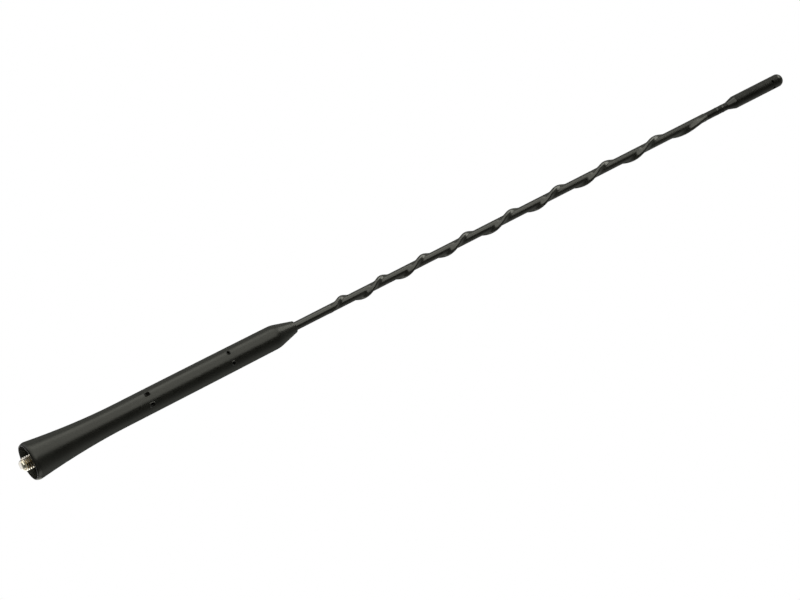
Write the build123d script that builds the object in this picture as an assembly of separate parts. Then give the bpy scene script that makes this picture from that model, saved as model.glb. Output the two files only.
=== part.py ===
from build123d import *

import math
import os

# A screw-on mast aerial for a car roof: a moulded grip, a springy whip with a helical strake round it
# and a plated stud. The origin is the middle of the seat, the rim that stands on the roof. The mast
# rises along +Z, the stud points down, and the openings left by the mould's pins face -Y and +Y.
# All sizes are in millimetres.

# Handle: rim, recess, flare, grip, shoulder and cone
seat_diameter = 16.0
seat_rounding = 0.1
rim_diameter = 17.16
rim_height = 2.4
rim_bulge = 1.3
recess_diameter = 15.2
recess_floor_diameter = 13.8
recess_depth = 4.6
recess_rounding = 0.1
flare_length = 45.6
flare_knee_height = 25.6
grip_length = 78.0
grip_diameter = 11.2
shoulder_diameter = 10.72
shoulder_rounding = 13.0
cone_length = 10.2
cone_end_diameter = 5.3
cone_end_rounding = 0.35
mouth_chamfer = 0.35

# Openings that the mould's support pins leave in the grip, in pairs beside the whip, front and back,
# with a low lip round each. The turn and the slope are in degrees.
pin_offset = 2.6
pin_floor = 2.0
pin_turn = -3.0
slot_height = 58.6
slot_length = 2.4
slot_width = 1.5
slot_rounding = 0.6
hole_height = 99.6
hole_diameter = 1.45
lip_width = 0.1
lip_height = 0.2
lip_slope = 45.0

# Ferrule, turned from hexagon bar: stud, flange, grooved hexagon and neck
thread_diameter = 6.0
stud_reach = 3.7
nose_diameter = 4.7
nose_length = 1.4
nose_rounding = 1.2
relief_diameter = 4.8
relief_length = 0.8
flange_diameter = 9.4
flange_thickness = 1.6
hexagon_across_flats = 8.0
hexagon_length = 12.0
groove_count = 2
groove_diameter = 6.4
groove_width = 1.6
neck_diameter = 5.6
neck_length = 13.4
socket_depth = 20.0
solder_cup_depth = 4.0

# Core rod and the conductor wound on it
rod_diameter = 1.8
rod_end_chamfer = 0.2
wire_diameter = 0.4
winding_pitch = 24.0
fit_gap = 0.03

# Sheath: length above the handle, section, and the strake's turns. The strake starts at an angle, in
# degrees from +X towards +Y.
whip_length = 226.0
sheath_diameter = 3.8
strake_offset = 17.1
strake_start = -31.4
strake_height = 1.14
strake_crest_rounding = 1.2
strake_ramp_length = 6.5
strake_pitch = 20.65
strake_pitch_step = 1.18
runout_length = 20.0
runout_lag = 0.22
guide_radius = 0.05
guide_points_per_turn = 16

# Tip: ringed neck, cone, barrel and dome
tip_neck_length = 13.0
tip_neck_diameter = 3.55
ring_count = 2
ring_height = 0.08
ring_width = 0.8
ring_spacing = 3.1
ring_below_cone = 3.0
tip_cone_length = 4.1
tip_length = 32.4
tip_diameter = 5.92
tip_cone_rounding = 1.5
tip_end_wall = 3.6
tip_hole_below_end = 6.5
tip_hole_diameter = 1.45
tip_hole_depth = 1.5
tip_hole_angles = (-5.0, 60.0)

# Heights above the seat, and the radii of the nested pieces
shoulder_height = flare_length + grip_length
handle_top = shoulder_height + cone_length
sheath_top = handle_top + whip_length
tip_cone_bottom = sheath_top + tip_neck_length
mast_top = tip_cone_bottom + tip_length
ferrule_top = recess_depth + flange_thickness + hexagon_length + neck_length
rod_bottom = ferrule_top - socket_depth
rod_top = mast_top - tip_end_wall
strake_bottom = handle_top + strake_offset
winding_bottom = ferrule_top - solder_cup_depth + wire_diameter
winding_top = tip_cone_bottom + tip_cone_length
thread_radius = thread_diameter / 2
rod_radius = rod_diameter / 2
wire_radius = wire_diameter / 2
sheath_radius = sheath_diameter / 2
winding_radius = rod_radius + fit_gap + wire_radius
winding_bore_radius = winding_radius + wire_radius + fit_gap


def turned(outline, roundings=()):
    """The solid that a half section makes round the mast's axis, with some of its edges rounded.

    Each rounding is a corner of the half section, radius and height, and the fillet it gets.
    """
    solid = revolve(Plane.XZ * make_face(outline), Axis.Z)
    for (radius, height), rounding in roundings:
        circles = solid.edges().filter_by(GeomType.CIRCLE)
        edge = min(circles, key=lambda e: math.dist((e.radius, e.arc_center.Z), (radius, height)))
        solid = fillet(edge, rounding)
    return solid


def upright(radius, bottom, top):
    """A round bar on the mast's axis between two heights."""
    return Pos(0, 0, bottom) * extrude(Circle(radius), top - bottom)


def grip_radius(height):
    """Radius of the barrelled grip, which leaves the flare upright and narrows to the shoulder."""
    narrowing = (grip_diameter - shoulder_diameter) / 2
    return grip_diameter / 2 - narrowing * ((height - flare_length) / grip_length) ** 2


def handle_blank():
    """The grip's outside with the recess in its foot."""
    recess_corner = (recess_floor_diameter / 2, recess_depth)
    recess_edge = (recess_diameter / 2, 0)
    seat_edge = (seat_diameter / 2, 0)
    flare_slope = (rim_diameter - grip_diameter) / 2 / (flare_knee_height - rim_height)
    rim_corner = (rim_diameter / 2 + flare_slope * rim_bulge, rim_height - rim_bulge)
    rim_edge = (rim_diameter / 2, rim_height)
    flare_knee = (grip_diameter / 2, flare_knee_height)
    flare_end = (grip_diameter / 2, flare_length)
    grip_middle = (grip_diameter / 2, flare_length + grip_length / 2)
    shoulder = (shoulder_diameter / 2, shoulder_height)
    cone_end = (cone_end_diameter / 2, handle_top)
    outline = [
        Polyline((0, recess_depth), recess_corner, recess_edge, seat_edge),
        Bezier(seat_edge, rim_corner, rim_edge),
        Bezier(rim_edge, flare_knee, flare_end),
        Bezier(flare_end, grip_middle, shoulder),
        Polyline(shoulder, cone_end, (0, handle_top), (0, recess_depth)),
    ]
    roundings = [
        (recess_edge, recess_rounding),
        (seat_edge, seat_rounding),
        (shoulder, shoulder_rounding),
        (cone_end, cone_end_rounding),
    ]
    return turned(outline, roundings)


def pin_outlines(margin):
    """The slot and the round hole that the pins leave, wider all round by a margin, and their heights."""
    slot = RectangleRounded(slot_width + 2 * margin, slot_length + 2 * margin, slot_rounding + margin)
    hole = Circle(hole_diameter / 2 + margin)
    return [(slot, slot_height), (hole, hole_height)]


def pin_bars():
    """Bars where the mould's pins stand, which leave the openings."""
    bars = []
    reach = grip_diameter - pin_floor
    for side in (-1, 1):
        middle = side * (pin_floor + reach / 2)
        for offset in (-pin_offset, pin_offset):
            for outline, height in pin_outlines(0):
                bar = Rot(90, 0, 0) * extrude(outline, reach / 2, both=True)
                bars.append(Rot(0, 0, pin_turn) * Pos(offset, middle, height) * bar)
    return bars


def pin_lips():
    """Low raised edges round the pin openings, square to the grip's surface and sloped outside."""
    rise = 2 * lip_height
    spread = lip_width + rise * math.tan(math.radians(lip_slope))
    lean = math.degrees(math.asin(pin_offset / grip_diameter * 2))
    lips = []
    for (foot, height), (crest, _) in zip(pin_outlines(spread), pin_outlines(lip_width)):
        lip = Rot(90, 0, 0) * loft([foot, Pos(0, 0, rise) * crest], ruled=True)
        lip = Pos(0, lip_height - grip_radius(height), height) * lip
        for side in (0, 180):
            lips.append(Rot(0, 0, side + pin_turn - lean) * lip)
            lips.append(Rot(0, 0, side + pin_turn + lean) * lip)
    return lips


def ferrule_body(gap):
    """The ferrule's flange, grooved hexagon and neck, wider all round by a gap."""
    hexagon_bottom = recess_depth + flange_thickness
    hexagon_top = hexagon_bottom + hexagon_length
    flat = hexagon_across_flats / 2 + gap
    hexagon = extrude(RegularPolygon(flat, 6, major_radius=False), hexagon_length)
    body = Pos(0, 0, hexagon_bottom) * hexagon
    for i in range(groove_count):
        middle = hexagon_bottom + hexagon_length * (i + 1) / (groove_count + 1)
        bottom = middle - groove_width / 2
        top = middle + groove_width / 2
        body -= upright(flat * 2, bottom, top) - upright(groove_diameter / 2 + gap, bottom, top)
    body += upright(flange_diameter / 2 + gap, recess_depth, hexagon_bottom)
    body += upright(neck_diameter / 2 + gap, hexagon_top, ferrule_top)
    return body


def handle():
    """The moulded grip, with its cavity for the ferrule, its bore for the whip and its pin openings."""
    bore_radius = sheath_radius + fit_gap
    grip = handle_blank() + pin_lips()
    grip -= ferrule_body(fit_gap)
    grip -= upright(bore_radius, ferrule_top, handle_top)
    mouth = extrude(Circle(bore_radius + mouth_chamfer), mouth_chamfer, taper=45)
    grip -= Pos(0, 0, handle_top) * Rot(180, 0, 0) * mouth
    grip -= pin_bars()
    return grip


def threaded_ferrule():
    """One turned piece: round-nosed stud, relief behind the thread, anchoring body and the rod's socket."""
    relief_radius = relief_diameter / 2
    relief_bottom = recess_depth - relief_length
    thread_top = relief_bottom - (thread_radius - relief_radius)
    nose_radius = nose_diameter / 2
    nose_top = nose_length - stud_reach
    nose_corner = (nose_radius, -stud_reach)
    outline = Polyline(
        (0, -stud_reach),
        nose_corner,
        (nose_radius, nose_top),
        (thread_radius, nose_top + thread_radius - nose_radius),
        (thread_radius, thread_top),
        (relief_radius, relief_bottom),
        (relief_radius, recess_depth),
        (0, recess_depth),
        (0, -stud_reach),
    )
    ferrule = turned(outline, [(nose_corner, nose_rounding)]) + ferrule_body(0)
    ferrule -= upright(rod_radius + fit_gap, rod_bottom, ferrule_top)
    ferrule -= upright(winding_bore_radius, ferrule_top - solder_cup_depth, ferrule_top)
    return ferrule


def core_rod():
    """The glass-fibre rod, from the ferrule's socket up into the tip."""
    rod = upright(rod_radius, rod_bottom, rod_top)
    return chamfer(rod.edges(), rod_end_chamfer)


def radiator_wire():
    """The conductor, wound on the rod from the ferrule's solder cup up into the tip's cone."""
    route = Helix(winding_pitch, winding_top - winding_bottom, winding_radius)
    route = Pos(0, 0, winding_bottom) * route
    section = Plane(route @ 0, z_dir=route % 0) * Circle(wire_radius)
    return sweep(section, path=route, is_frenet=True)


def strake_turns(height):
    """Turns made by the strake up to a height: each is a step longer than the last."""
    climb = height - strake_bottom
    start = strake_pitch - strake_pitch_step / 2
    turns = 2 * climb / (start + math.sqrt(start**2 + 2 * strake_pitch_step * climb))
    runout = max(0, 1 - (sheath_top - height) / runout_length)
    return turns - runout_lag * runout**2


def strake_guide():
    """A thin left-handed helix of growing pitch, which turns the sheath's outline as it rises."""
    length = sheath_top - strake_bottom
    count = math.ceil(strake_turns(sheath_top) * guide_points_per_turn)
    points = []
    for i in range(count + 1):
        height = strake_bottom + length * i / count
        angle = math.radians(strake_start) - 2 * math.pi * strake_turns(height)
        points.append((guide_radius * math.cos(angle), guide_radius * math.sin(angle), height))
    return Spline(*points)


def sheath_outline():
    """The sheath's outside where the strake starts, drawn tight over the tube and a rounded ridge."""
    crest = sheath_radius + strake_height - strake_crest_rounding
    tube = Circle(sheath_radius).edge()
    ridge = Pos(crest, 0) * Circle(strake_crest_rounding).edge()
    return Rot(0, 0, strake_start) * make_hull([tube, ridge])


def strake_ramp():
    """What is taken off the strake's lower end, so that it rises gently out of the sheath."""
    clear = sheath_radius + 2 * strake_height
    ramp_top = strake_bottom + strake_ramp_length * 2
    outline = Polyline(
        (sheath_radius, strake_bottom),
        (clear, ramp_top),
        (clear + strake_height, ramp_top),
        (clear + strake_height, strake_bottom),
        (sheath_radius, strake_bottom),
    )
    return turned(outline)


def mast_sheath():
    """The whip's covering: a plain tube below, a helical strake above, cut square at its top."""
    spine = Line((0, 0, strake_bottom), (0, 0, sheath_top))
    outline = Pos(0, 0, strake_bottom) * sheath_outline()
    sheath = sweep(outline, path=spine, binormal=strake_guide().edge())
    sheath -= strake_ramp()
    sheath += upright(sheath_radius, ferrule_top, strake_bottom)
    return sheath - upright(winding_bore_radius, ferrule_top, sheath_top)


def tip_cap():
    """The moulded tip: ringed neck on the rod above the sheath, cone, barrel, dome and pin openings."""
    tip_radius = tip_diameter / 2
    neck_radius = tip_neck_diameter / 2
    neck_top = (neck_radius, tip_cone_bottom)
    barrel_bottom = (tip_radius, tip_cone_bottom + tip_cone_length)
    dome_bottom = (tip_radius, mast_top - tip_radius)
    below = (neck_radius, sheath_top)
    outline = [Line((0, sheath_top), below)]
    for i in reversed(range(ring_count)):
        middle = tip_cone_bottom - ring_below_cone - i * ring_spacing
        ring_bottom = (neck_radius, middle - ring_width / 2)
        ring_crest = (neck_radius + ring_height, middle)
        ring_top = (neck_radius, middle + ring_width / 2)
        outline += [Line(below, ring_bottom), ThreePointArc(ring_bottom, ring_crest, ring_top)]
        below = ring_top
    outline += [
        Polyline(below, neck_top, barrel_bottom, dome_bottom),
        TangentArc(dome_bottom, (0, mast_top), tangent=(0, 1)),
        Line((0, mast_top), (0, sheath_top)),
    ]
    cap = turned(outline, [(barrel_bottom, tip_cone_rounding)])
    cap -= upright(winding_bore_radius, sheath_top, winding_top + wire_diameter)
    cap -= upright(rod_radius + fit_gap, sheath_top, rod_top)
    pin = Pos(0, -tip_radius, 0) * Rot(90, 0, 0) * Cylinder(tip_hole_diameter / 2, 2 * tip_hole_depth)
    for side in (0, 180):
        for angle in tip_hole_angles:
            cap -= Pos(0, 0, mast_top - tip_hole_below_end) * Rot(0, 0, side + angle) * pin
    return cap


pieces = [handle, threaded_ferrule, core_rod, radiator_wire, mast_sheath, tip_cap]
os.makedirs("parts", exist_ok=True)
for piece in pieces:
    export_step(piece(), f"parts/{piece.__name__}.step")
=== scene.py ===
import math

import bpy
from mathutils import Matrix, Vector


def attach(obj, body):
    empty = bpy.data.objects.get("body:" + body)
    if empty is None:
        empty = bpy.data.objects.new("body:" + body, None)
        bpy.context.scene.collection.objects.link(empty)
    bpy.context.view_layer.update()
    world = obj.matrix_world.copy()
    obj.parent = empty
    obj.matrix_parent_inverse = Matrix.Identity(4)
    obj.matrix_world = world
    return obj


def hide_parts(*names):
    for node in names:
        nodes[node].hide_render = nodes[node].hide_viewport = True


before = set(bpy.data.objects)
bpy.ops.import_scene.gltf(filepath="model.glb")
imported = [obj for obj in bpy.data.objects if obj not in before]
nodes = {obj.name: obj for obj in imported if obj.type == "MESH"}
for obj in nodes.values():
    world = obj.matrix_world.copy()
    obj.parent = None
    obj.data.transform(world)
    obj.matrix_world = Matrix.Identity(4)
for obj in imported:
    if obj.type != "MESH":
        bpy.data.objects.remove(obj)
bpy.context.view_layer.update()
scene = bpy.context.scene
scene.view_settings.view_transform = "Standard"

MM = 0.001

# Camera, with its place in metres: the photograph looks up along the mast from in front of the seat, rolled
# so that the mast runs from the lower left of the picture to its upper right
CAMERA_PLACE = (0.05985, -1.37286, -0.39444)
CAMERA_RIGHT = (0.46940, -0.32818, 0.81973)
CAMERA_UP = (-0.88236, -0.20908, 0.42157)
FOCAL_PIXELS = 3400.0
PICTURE_WIDTH = 800.0
SENSOR_WIDTH = 36.0
NEAREST_SEEN = 0.05
FARTHEST_SEEN = 50.0

# Studio: a dim room, given by its level at some values of a direction's Y, and a white backdrop that
# fills the picture behind the mast, given by the cosines between which its edge fades
WHITE = (1.0, 1.0, 1.0)
ROOM_COLOUR = (0.98, 1.0, 0.9)
ROOM_LEVELS = ((-0.8, 0.01), (0.1, 0.4), (0.45, 0.36), (0.85, 0.1))
BACKDROP_DIRECTION = (-0.033, 0.921, 0.388)
BACKDROP_EDGE = (0.97, 0.988)
LAMP_COLOUR = (1.0, 1.0, 0.88)

# Floor, in metres: the share of white that it is shown with, and the direction in which it is reflected as
# white, with the distances that way between which the white fades in
FLOOR_SIZE = 30.0
FLOOR_HEIGHT = -1.5
FLOOR_COLOUR = (0.5, 0.5, 0.48)
FLOOR_ROUGHNESS = 0.8
FLOOR_WHITE_SHARE = 0.93
FLOOR_BEHIND = (-0.3, 0.954, 0.0)
FLOOR_BEHIND_EDGE = (-0.2, 0.4)

# Recess in the handle's foot, in millimetres, as the solid has it, with a paler colour on its walls that is
# painted light, standing in for light that reaches into it, and the dull edge round its mouth
RECESS_RADIUS = 7.6
RECESS_DEPTH = 4.6
RECESS_PAINTED_LIGHT = (0.05, 0.05, 0.045)
RECESS_FADE = 0.08
EDGE_RADIUS = 9.0
EDGE_HEIGHTS = (0.35, 0.6)
EDGE_GLOSS = 0.12

# Stud's thread, in millimetres: its crest and root are shares of the pitch and its phase is one of a turn,
# and from a radius inwards it is painted a darker brass colour, partly brass and partly painted shade in
# its roots
THREAD_RADIUS = 3.0
THREAD_ROOT_RADIUS = 2.42
THREAD_PITCH = 1.0
THREAD_PHASE = 0.15
THREAD_CREST = 0.24
THREAD_ROOT = 0.2
THREAD_STEP = 0.05
ROOT_SHADE_RADIUS = 2.7
ROOT_SHADE_FADE = 0.1

# Ferrule, in millimetres, as the solid has it, from the stud's nose to the socket for the rod
STUD_REACH = 3.7
NOSE_RADIUS = 2.35
NOSE_ROUNDING = 1.2
NOSE_TOP = -2.3
NOSE_STEPS = 12
RELIEF_RADIUS = 2.4
RELIEF_HEIGHT = 3.8
FLANGE_RADIUS = 4.7
FLANGE_BOTTOM = RECESS_DEPTH
FLANGE_TOP = 6.2
HEXAGON_FLAT = 4.0
HEXAGON_TOP = 18.2
GROOVE_RADIUS = 3.2
GROOVE_WIDTH = 1.6
GROOVE_HEIGHTS = (10.2, 14.2)
NECK_RADIUS = 2.8
NECK_TOP = 31.6
CUP_RADIUS = 1.36
CUP_BOTTOM = 27.6
SOCKET_RADIUS = 0.93
SOCKET_BOTTOM = 11.6
FERRULE_SEGMENTS = 144

# Sheath, in millimetres, as the solid has it: a tube with a rounded ridge that winds round it from an
# angle in degrees, each turn a step longer than the last, and lags by a share of a turn at its end
SHEATH_RADIUS = 1.9
SHEATH_BORE_RADIUS = CUP_RADIUS
SHEATH_BOTTOM = NECK_TOP
SHEATH_TOP = 359.8
STRAKE_BOTTOM = 150.9
STRAKE_START = -31.4
STRAKE_HEIGHT = 1.14
STRAKE_ROUNDING = 1.2
STRAKE_RAMP = 6.5
STRAKE_PITCH = 20.65
STRAKE_PITCH_STEP = 1.18
RUNOUT_LENGTH = 20.0
RUNOUT_LAG = 0.22
SHEATH_STEP = 0.5
SHEATH_SEGMENTS = 96

# Edges of the made pieces that bend by more than this angle in degrees are sharp
SHARP_ANGLE = 32

# Black plastics: the darkest and palest shares of a shade and how far the roughness strays, each with the
# number of patches to a metre
PLASTIC_DARK = (0.85, 0.85, 0.76)
PLASTIC_PALE = (1.15, 1.15, 1.03)
PLASTIC_PATCHES = 90.0
PLASTIC_STRAY = (-0.03, 0.04)
PLASTIC_SMEARS = 160.0
PLASTIC_BUMP = 0.35
GRIP_GLOSS = 0.5

# Nickel plate, where it is thick and thin, the darker brass colour of the thread's roots, which is partly
# painted shade, and turning marks with a relief in millimetres
NICKEL = (0.80, 0.77, 0.70)
THIN_NICKEL = (0.84, 0.74, 0.58)
NICKEL_RANGE = (0.45, 0.7)
NICKEL_PATCHES = 700.0
NICKEL_ROUGHNESS = (0.12, 0.24)
NICKEL_SMEARS = 1500.0
ROOT_BRASS_AND_SHADE = (0.45, 0.33, 0.16)
TURNING_MARKS = 900.0
TURNING_STRETCH = (1, 1, 6)
TURNING_RELIEF = 0.01
TURNING_BUMP = 0.3

# Glass fibre: resin and glass, in long streaks with a relief in millimetres
RESIN = (0.62, 0.6, 0.4)
GLASS = (0.78, 0.76, 0.6)
FIBRE_STREAKS = 4000.0
FIBRE_STRETCH = (1, 1, 0.01)
FIBRE_RELIEF = 0.02
FIBRE_BUMP = 0.3
FIBRE_ROUGHNESS = (0.35, 0.5)
FIBRE_SMEARS = 300.0

# Copper under clear enamel
COPPER = (0.72, 0.3, 0.15)
PALE_COPPER = (0.82, 0.4, 0.22)
COPPER_PATCHES = 400.0
COPPER_ROUGHNESS = (0.22, 0.34)
COPPER_SMEARS = 900.0
ENAMEL_WEIGHT = 0.6

# Shading: the ranges of a noise over which a number and a colour change, its detail, levels that rise and
# fall, and the sockets by which a mix node takes and gives colours
NUMBER_RANGE = (0.3, 0.7)
COLOUR_RANGE = (0.35, 0.65)
PATCH_DETAIL = 3.0
GRAIN_DETAIL = 2.0
RISING = (0.0, 1.0)
FALLING = (1.0, 0.0)
MIX_FIRST = 6
MIX_SECOND = 7
MIX_RESULT = 2


def add_camera():
    """The camera, with its upward direction made square to its right."""
    data = bpy.data.cameras.new("camera")
    data.sensor_width = SENSOR_WIDTH
    data.lens = FOCAL_PIXELS * SENSOR_WIDTH / PICTURE_WIDTH
    data.clip_start = NEAREST_SEEN
    data.clip_end = FARTHEST_SEEN
    camera = bpy.data.objects.new("camera", data)
    right = Vector(CAMERA_RIGHT).normalized()
    up = Vector(CAMERA_UP)
    up = (up - right * up.dot(right)).normalized()
    back = right.cross(up)
    turn = Matrix((right, up, back)).transposed().to_4x4()
    camera.matrix_world = Matrix.Translation(CAMERA_PLACE) @ turn
    scene.collection.objects.link(camera)
    scene.camera = camera


def add_panel(name, azimuth, distance, height, size, radiance, aim=None):
    """A soft light at an azimuth in degrees from the front, -Y, towards +X, a distance and a height.

    It faces the mast's axis at its own height, or at another that is given. Its size is a width and a
    height.
    """
    data = bpy.data.lights.new(name, "AREA")
    data.shape = "RECTANGLE"
    data.size, data.size_y = size
    data.energy = radiance * math.pi * size[0] * size[1]
    data.color = LAMP_COLOUR
    lamp = bpy.data.objects.new(name, data)
    turn = math.radians(azimuth)
    lamp.location = (distance * math.sin(turn), -distance * math.cos(turn), height)
    out = lamp.location - Vector((0, 0, height if aim is None else aim))
    lamp.rotation_euler = out.to_track_quat("Z", "Y").to_euler()
    lamp.visible_camera = False
    scene.collection.objects.link(lamp)


def node(tree, kind, **values):
    """A new shading node of a kind, with given settings."""
    made = tree.nodes.new(kind)
    for key, value in values.items():
        setattr(made, key, value)
    return made


def combined(tree, operation, first, second):
    """A number that is worked out from two others."""
    made = node(tree, "ShaderNodeMath", operation=operation)
    tree.links.new(first, made.inputs[0])
    tree.links.new(second, made.inputs[1])
    return made.outputs["Value"]


def reach_along(tree, place, direction):
    """How far a place or a direction reaches in a given direction."""
    made = node(tree, "ShaderNodeVectorMath", operation="DOT_PRODUCT")
    made.inputs[1].default_value = direction
    tree.links.new(place, made.inputs[0])
    return made.outputs["Value"]


def span(tree, source, ends, levels, kind="SMOOTHSTEP"):
    """A number that goes from one level to another while its source goes from end to end."""
    ramp = node(tree, "ShaderNodeMapRange", interpolation_type=kind)
    ramp.inputs["From Min"].default_value = ends[0]
    ramp.inputs["From Max"].default_value = ends[1]
    ramp.inputs["To Min"].default_value = levels[0]
    ramp.inputs["To Max"].default_value = levels[1]
    tree.links.new(source, ramp.inputs["Value"])
    return ramp.outputs["Result"]


def steps(tree, source, levels):
    """A number that runs through given levels while its source goes from -1 to 1."""
    ramp = node(tree, "ShaderNodeValToRGB")
    elements = ramp.color_ramp.elements
    while len(elements) < len(levels):
        elements.new(1.0)
    for element, (value, level) in zip(elements, levels):
        element.position = (value + 1) / 2
        element.color = (level, level, level, 1)
    tree.links.new(span(tree, source, (-1.0, 1.0), RISING, "LINEAR"), ramp.inputs["Fac"])
    return ramp.outputs["Color"]


def turned_zone(tree, radii, heights, levels):
    """1 within a radius of the Z axis, fading out between two radii, times a level.

    The level goes from the first to the second of two between two heights. All sizes are in millimetres.
    """
    place = node(tree, "ShaderNodeTexCoord").outputs["Object"]
    across = node(tree, "ShaderNodeVectorMath", operation="MULTIPLY")
    across.inputs[1].default_value = (1, 1, 0)
    length = node(tree, "ShaderNodeVectorMath", operation="LENGTH")
    parts = node(tree, "ShaderNodeSeparateXYZ")
    tree.links.new(place, across.inputs[0])
    tree.links.new(across.outputs["Vector"], length.inputs[0])
    tree.links.new(place, parts.inputs[0])
    inside = span(tree, length.outputs["Value"], [radius * MM for radius in radii], FALLING)
    level = span(tree, parts.outputs["Z"], [height * MM for height in heights], levels)
    return combined(tree, "MULTIPLY", inside, level)


def noise(tree, scale, detail=PATCH_DETAIL, stretch=(1, 1, 1)):
    """Noise fixed to the object, with a given number of features to a metre."""
    place = node(tree, "ShaderNodeTexCoord")
    mapping = node(tree, "ShaderNodeMapping")
    mapping.inputs["Scale"].default_value = stretch
    made = node(tree, "ShaderNodeTexNoise")
    made.inputs["Scale"].default_value = scale
    made.inputs["Detail"].default_value = detail
    tree.links.new(place.outputs["Object"], mapping.inputs["Vector"])
    tree.links.new(mapping.outputs["Vector"], made.inputs["Vector"])
    return made.outputs["Fac"]


def vary(tree, socket, source, levels, ends=NUMBER_RANGE):
    """Lets a number follow a noise or a zone between two levels."""
    tree.links.new(span(tree, source, ends, levels, "LINEAR"), socket)


def tint(tree, socket, source, colours, ends=COLOUR_RANGE):
    """Lets a colour follow a noise between two colours."""
    ramp = node(tree, "ShaderNodeValToRGB")
    for element, position, colour in zip(ramp.color_ramp.elements, ends, colours):
        element.position = position
        element.color = (*colour, 1)
    tree.links.new(source, ramp.inputs["Fac"])
    tree.links.new(ramp.outputs["Color"], socket)


def bump(tree, shader, source, relief, strength):
    """Lets a noise raise a surface by a relief in millimetres."""
    made = node(tree, "ShaderNodeBump")
    made.inputs["Distance"].default_value = relief * MM
    made.inputs["Strength"].default_value = strength
    tree.links.new(source, made.inputs["Height"])
    tree.links.new(made.outputs["Normal"], shader.inputs["Normal"])


def paint_zone(tree, shader, zone, colour):
    """Lays a plain colour over a shader's own colour in a zone."""
    base = shader.inputs["Base Color"]
    mix = node(tree, "ShaderNodeMix", data_type="RGBA")
    mix.inputs[MIX_SECOND].default_value = (*colour, 1)
    tree.links.new(base.links[0].from_socket, mix.inputs[MIX_FIRST])
    tree.links.new(zone, mix.inputs["Factor"])
    tree.links.new(mix.outputs[MIX_RESULT], base)


def mix_shaders(tree, share, first, second, target):
    """Shows two shaders, the second by a share that is given."""
    mix = node(tree, "ShaderNodeMixShader")
    tree.links.new(share, mix.inputs["Fac"])
    tree.links.new(first.outputs[0], mix.inputs[1])
    tree.links.new(second.outputs[0], mix.inputs[2])
    tree.links.new(mix.outputs["Shader"], target)


def seen_white(tree, where):
    """1 for what the camera sees, and for what is reflected or seen through something in a given place."""
    path = node(tree, "ShaderNodeLightPath")
    bounced = combined(tree, "MAXIMUM", path.outputs["Is Glossy Ray"], path.outputs["Is Transmission Ray"])
    mirrored = combined(tree, "MULTIPLY", bounced, where)
    return combined(tree, "MAXIMUM", path.outputs["Is Camera Ray"], mirrored)


def material_of(name):
    """A new material, with its node tree and its shader."""
    made = bpy.data.materials.new(name)
    made.use_nodes = True
    return made, made.node_tree, made.node_tree.nodes["Principled BSDF"]


def add_world():
    """White for the camera, and a white backdrop behind the mast for what reflects or passes light.

    For all else a dim room, which is lightest at the sides and darkest in front.
    """
    world = bpy.data.worlds.new("studio")
    scene.world = world
    world.use_nodes = True
    tree = world.node_tree
    tree.nodes.clear()
    out = node(tree, "ShaderNodeOutputWorld")
    direction = node(tree, "ShaderNodeTexCoord").outputs["Generated"]
    parts = node(tree, "ShaderNodeSeparateXYZ")
    room = node(tree, "ShaderNodeBackground")
    room.inputs["Color"].default_value = (*ROOM_COLOUR, 1)
    white = node(tree, "ShaderNodeBackground")
    white.inputs["Color"].default_value = (*WHITE, 1)
    white.inputs["Strength"].default_value = 1.0
    tree.links.new(direction, parts.inputs[0])
    tree.links.new(steps(tree, parts.outputs["Y"], ROOM_LEVELS), room.inputs["Strength"])
    backdrop = span(tree, reach_along(tree, direction, BACKDROP_DIRECTION), BACKDROP_EDGE, RISING)
    mix_shaders(tree, seen_white(tree, backdrop), room, white, out.inputs["Surface"])


def add_floor():
    """A plain pale floor well below the part, which the camera sees almost as white as the background.

    What reflects or passes light sees it white too, but only on the side of the backdrop.
    """
    bpy.ops.mesh.primitive_plane_add(size=FLOOR_SIZE, location=(0, 0, FLOOR_HEIGHT))
    floor = bpy.context.object
    floor.name = "floor"
    made, tree, shader = material_of("pale_floor")
    shader.inputs["Base Color"].default_value = (*FLOOR_COLOUR, 1)
    shader.inputs["Roughness"].default_value = FLOOR_ROUGHNESS
    white = node(tree, "ShaderNodeEmission")
    white.inputs["Color"].default_value = (*WHITE, 1)
    place = node(tree, "ShaderNodeTexCoord").outputs["Object"]
    behind = span(tree, reach_along(tree, place, FLOOR_BEHIND), FLOOR_BEHIND_EDGE, RISING)
    share = node(tree, "ShaderNodeMath", operation="MULTIPLY")
    share.inputs[1].default_value = FLOOR_WHITE_SHARE
    tree.links.new(seen_white(tree, behind), share.inputs[0])
    target = tree.nodes["Material Output"].inputs["Surface"]
    mix_shaders(tree, share.outputs["Value"], shader, white, target)
    floor.data.materials.append(made)


def plastic(name, shade, gloss, roughness, grain, relief):
    """Black moulded plastic: a fine grain of a relief in millimetres, slightly uneven gloss and colour."""
    made, tree, shader = material_of(name)
    shader.inputs["Specular IOR Level"].default_value = gloss
    dark = [share * shade for share in PLASTIC_DARK]
    pale = [share * shade for share in PLASTIC_PALE]
    tint(tree, shader.inputs["Base Color"], noise(tree, PLASTIC_PATCHES), (dark, pale))
    levels = [roughness + stray for stray in PLASTIC_STRAY]
    vary(tree, shader.inputs["Roughness"], noise(tree, PLASTIC_SMEARS), levels)
    bump(tree, shader, noise(tree, grain, GRAIN_DETAIL), relief, PLASTIC_BUMP)
    return made


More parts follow.
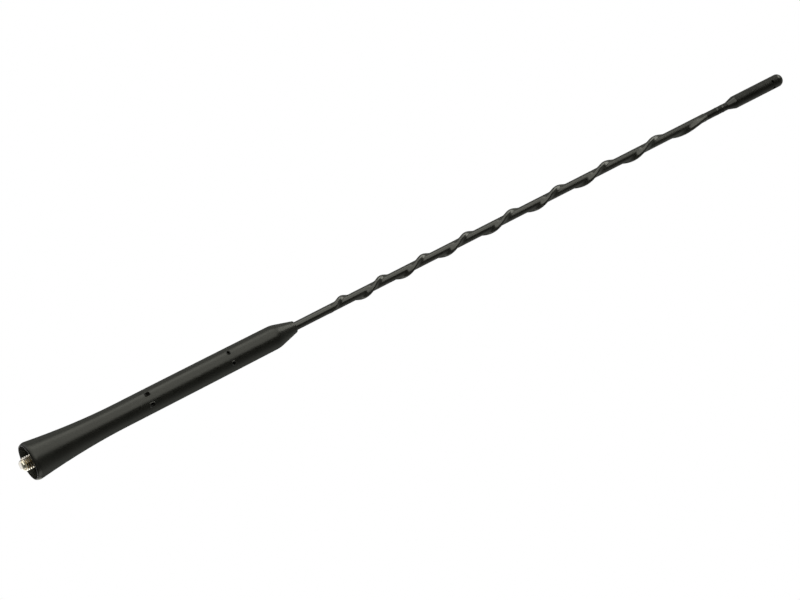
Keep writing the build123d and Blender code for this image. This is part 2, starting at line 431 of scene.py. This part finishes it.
def grip_plastic(name):
    """The handle's plastic, with painted light, a paler colour, on the walls of its recess and a dull edge
    round the mouth of it.
    """
    made = plastic(name, shade=0.013, gloss=GRIP_GLOSS, roughness=0.3, grain=3000.0, relief=0.03)
    tree = made.node_tree
    shader = tree.nodes["Principled BSDF"]
    radii = (RECESS_RADIUS + RECESS_FADE, RECESS_RADIUS + 2 * RECESS_FADE)
    heights = (RECESS_DEPTH + RECESS_FADE, RECESS_DEPTH + 2 * RECESS_FADE)
    # Painted light: the recess walls get a paler colour that stands in for light reaching into the recess
    paint_zone(tree, shader, turned_zone(tree, radii, heights, FALLING), RECESS_PAINTED_LIGHT)
    edge = turned_zone(tree, (EDGE_RADIUS, EDGE_RADIUS + RECESS_FADE), EDGE_HEIGHTS, FALLING)
    vary(tree, shader.inputs["Specular IOR Level"], edge, (GRIP_GLOSS, EDGE_GLOSS), RISING)
    return made


def sheath_plastic(name):
    """The sheath's plastic, the palest and glossiest of the three."""
    return plastic(name, shade=0.018, gloss=0.75, roughness=0.23, grain=4000.0, relief=0.02)


def tip_plastic(name):
    """The tip's plastic, the darkest and smoothest of the three."""
    return plastic(name, shade=0.011, gloss=0.54, roughness=0.19, grain=4000.0, relief=0.008)


def plated(name):
    """Nickel plate, warmer where it is thin, with fine turning marks and a darker brass colour in the
    thread's roots that is partly painted shade.
    """
    made, tree, shader = material_of(name)
    shader.inputs["Metallic"].default_value = 1.0
    patches = noise(tree, NICKEL_PATCHES)
    tint(tree, shader.inputs["Base Color"], patches, (NICKEL, THIN_NICKEL), NICKEL_RANGE)
    # Painted shade in the thread's roots: a darker brass colour inside a radius, above the nose
    heights = (NOSE_TOP - ROOT_SHADE_FADE, NOSE_TOP + ROOT_SHADE_FADE)
    thread = turned_zone(tree, (THREAD_ROOT_RADIUS, ROOT_SHADE_RADIUS), heights, RISING)
    paint_zone(tree, shader, thread, ROOT_BRASS_AND_SHADE)
    vary(tree, shader.inputs["Roughness"], noise(tree, NICKEL_SMEARS), NICKEL_ROUGHNESS)
    marks = noise(tree, TURNING_MARKS, GRAIN_DETAIL, TURNING_STRETCH)
    bump(tree, shader, marks, TURNING_RELIEF, TURNING_BUMP)
    return made


def fibre(name):
    """Drawn glass fibre: long pale streaks in resin."""
    made, tree, shader = material_of(name)
    streaks = noise(tree, FIBRE_STREAKS, GRAIN_DETAIL, FIBRE_STRETCH)
    tint(tree, shader.inputs["Base Color"], streaks, (RESIN, GLASS))
    vary(tree, shader.inputs["Roughness"], noise(tree, FIBRE_SMEARS), FIBRE_ROUGHNESS)
    bump(tree, shader, streaks, FIBRE_RELIEF, FIBRE_BUMP)
    return made


def enamelled(name):
    """Copper wire under clear enamel."""
    made, tree, shader = material_of(name)
    shader.inputs["Metallic"].default_value = 1.0
    shader.inputs["Coat Weight"].default_value = ENAMEL_WEIGHT
    tint(tree, shader.inputs["Base Color"], noise(tree, COPPER_PATCHES), (COPPER, PALE_COPPER))
    vary(tree, shader.inputs["Roughness"], noise(tree, COPPER_SMEARS), COPPER_ROUGHNESS)
    return made


def ringed_mesh(name, rows, segments):
    """A closed skin of rings round the Z axis. A radius is a number or a function of angle and height."""
    points = []
    rings = []
    for height, radius in rows:
        if radius == 0.0:
            rings.append([len(points)] * segments)
            points.append((0, 0, height * MM))
            continue
        rings.append(range(len(points), len(points) + segments))
        for i in range(segments):
            angle = 2 * math.pi * i / segments
            size = radius(angle, height) if callable(radius) else radius
            points.append((size * math.cos(angle) * MM, size * math.sin(angle) * MM, height * MM))
    faces = []
    for below, above in zip(rings, rings[1:]):
        for i in range(segments):
            j = (i + 1) % segments
            corners = (below[i], below[j], above[j], above[i])
            faces.append(list(dict.fromkeys(corners)))
    mesh = bpy.data.meshes.new(name)
    mesh.from_pydata(points, [], faces)
    mesh.validate()
    mesh.polygons.foreach_set("use_smooth", [True] * len(mesh.polygons))
    mesh.set_sharp_from_angle(angle=math.radians(SHARP_ANGLE))
    mesh.update()
    return mesh


def made_piece(name, rows, segments, material):
    """A piece of one ringed mesh and one material."""
    mesh = ringed_mesh(name, rows, segments)
    mesh.materials.append(material)
    piece = bpy.data.objects.new(name, mesh)
    scene.collection.objects.link(piece)
    return piece


def thread_radius(angle, height):
    """Radius of the stud's thread, a right-handed one with flat crests and roots, cut by its chamfers."""
    phase = (height / THREAD_PITCH - angle / (2 * math.pi) + THREAD_PHASE) % 1.0
    away = abs(phase - 0.5) - THREAD_CREST / 2
    flank = 0.5 - THREAD_CREST / 2 - THREAD_ROOT / 2
    share = min(max(away / flank, 0.0), 1.0)
    cut = THREAD_RADIUS - share * (THREAD_RADIUS - THREAD_ROOT_RADIUS)
    lead = NOSE_RADIUS + max(height - NOSE_TOP, 0)
    return min(cut, lead, RELIEF_RADIUS + RELIEF_HEIGHT - height)


def hexagon_radius(angle, height):
    """Radius of the ferrule's hexagon, which is the same at every height."""
    return HEXAGON_FLAT / math.cos(angle % (math.pi / 3) - math.pi / 6)


def ferrule_rows():
    """Height and radius of each ring of the ferrule's skin, from the nose to the floor of its socket."""
    rows = [(-STUD_REACH, 0.0)]
    for i in range(NOSE_STEPS + 1):
        turn = math.pi / 2 * i / NOSE_STEPS
        height = NOSE_ROUNDING * (1 - math.cos(turn)) - STUD_REACH
        rows.append((height, NOSE_RADIUS - NOSE_ROUNDING * (1 - math.sin(turn))))
    count = round((RELIEF_HEIGHT - NOSE_TOP) / THREAD_STEP)
    for i in range(count + 1):
        rows.append((NOSE_TOP + (RELIEF_HEIGHT - NOSE_TOP) * i / count, thread_radius))
    rows.append((FLANGE_BOTTOM, RELIEF_RADIUS))
    rows.append((FLANGE_BOTTOM, FLANGE_RADIUS))
    rows.append((FLANGE_TOP, FLANGE_RADIUS))
    rows.append((FLANGE_TOP, hexagon_radius))
    for middle in GROOVE_HEIGHTS:
        rows.append((middle - GROOVE_WIDTH / 2, hexagon_radius))
        rows.append((middle - GROOVE_WIDTH / 2, GROOVE_RADIUS))
        rows.append((middle + GROOVE_WIDTH / 2, GROOVE_RADIUS))
        rows.append((middle + GROOVE_WIDTH / 2, hexagon_radius))
    rows.append((HEXAGON_TOP, hexagon_radius))
    rows.append((HEXAGON_TOP, NECK_RADIUS))
    rows.append((NECK_TOP, NECK_RADIUS))
    rows.append((NECK_TOP, CUP_RADIUS))
    rows.append((CUP_BOTTOM, CUP_RADIUS))
    rows.append((CUP_BOTTOM, SOCKET_RADIUS))
    rows.append((SOCKET_BOTTOM, SOCKET_RADIUS))
    rows.append((SOCKET_BOTTOM, 0.0))
    return rows


def add_ferrule(material):
    """The ferrule with its thread cut, in place of the solid that has a plain stud."""
    piece = made_piece("stud_and_ferrule", ferrule_rows(), FERRULE_SEGMENTS, material)
    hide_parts("threaded_ferrule")
    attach(piece, "root")


def strake_turns(height):
    """Turns made by the strake up to a height: each is a step longer than the last."""
    climb = max(height - STRAKE_BOTTOM, 0)
    start = STRAKE_PITCH - STRAKE_PITCH_STEP / 2
    turns = 2 * climb / (start + math.sqrt(start**2 + 2 * STRAKE_PITCH_STEP * climb))
    runout = max(0, 1 - (SHEATH_TOP - height) / RUNOUT_LENGTH)
    return turns - RUNOUT_LAG * runout**2


def sheath_radius(angle, height):
    """Radius of the sheath's outside: the tube and the ridge with a tight skin drawn over both."""
    crest = SHEATH_RADIUS + STRAKE_HEIGHT - STRAKE_ROUNDING
    meet = math.acos((SHEATH_RADIUS - STRAKE_ROUNDING) / crest)
    turned = angle - math.radians(STRAKE_START) + 2 * math.pi * strake_turns(height)
    away = abs((turned + math.pi) % (2 * math.pi) - math.pi)
    if away >= meet:
        return SHEATH_RADIUS
    radius = SHEATH_RADIUS / math.cos(meet - away)
    flank_end = math.atan2(STRAKE_ROUNDING * math.sin(meet), crest + STRAKE_ROUNDING * math.cos(meet))
    if away < flank_end:
        side = crest * math.sin(away)
        radius = crest * math.cos(away) + math.sqrt(STRAKE_ROUNDING**2 - side**2)
    ramp = SHEATH_RADIUS + STRAKE_HEIGHT * (height - STRAKE_BOTTOM) / STRAKE_RAMP
    return max(min(radius, ramp), SHEATH_RADIUS)


def sheath_rows():
    """Height and radius of each ring of the sheath's skin, up its outside and down its bore."""
    rows = [(SHEATH_BOTTOM, SHEATH_BORE_RADIUS), (SHEATH_BOTTOM, SHEATH_RADIUS)]
    count = round((SHEATH_TOP - STRAKE_BOTTOM) / SHEATH_STEP)
    for i in range(count + 1):
        rows.append((STRAKE_BOTTOM + (SHEATH_TOP - STRAKE_BOTTOM) * i / count, sheath_radius))
    rows.append((SHEATH_TOP, SHEATH_BORE_RADIUS))
    rows.append((SHEATH_BOTTOM, SHEATH_BORE_RADIUS))
    return rows


def add_sheath(material):
    """The sheath and its strake, in place of the solid, by a finer mesh of the same form."""
    piece = made_piece("sheath_and_strake", sheath_rows(), SHEATH_SEGMENTS, material)
    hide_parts("mast_sheath")
    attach(piece, "root")


def dress(name, material):
    """Gives a solid its material and leaves its shape as it is."""
    mesh = nodes[name].data
    mesh.materials.clear()
    mesh.materials.append(material)


add_camera()
add_world()
add_floor()
add_panel("key", azimuth=-40, distance=1.2, height=0.395, size=(2.36, 1.19), radiance=1.3)
add_panel("key_edge", azimuth=-67, distance=1.15, height=0.645, size=(0.32, 0.69), radiance=0.65)
add_panel("key_low", azimuth=-40, distance=1.2, height=-0.39, size=(2.36, 0.38), radiance=0.75)
add_panel("key_top", azimuth=-55, distance=0.95, height=1.45, size=(1.1, 0.6), radiance=3.0, aim=0.13)
add_panel("key_inner", azimuth=-17, distance=1.15, height=0.395, size=(0.45, 1.19), radiance=0.2)
add_panel("back_key", azimuth=160, distance=1.2, height=-0.125, size=(0.8, 0.85), radiance=1.2)
add_panel("side_low", azimuth=95, distance=1.2, height=-0.125, size=(0.6, 0.75), radiance=0.9)

dress("handle", grip_plastic("grip_plastic"))
add_sheath(sheath_plastic("sheath_plastic"))
dress("tip_cap", tip_plastic("tip_plastic"))
dress("core_rod", fibre("glass_fibre"))
dress("radiator_wire", enamelled("copper_wire"))
add_ferrule(plated("plated_metal"))
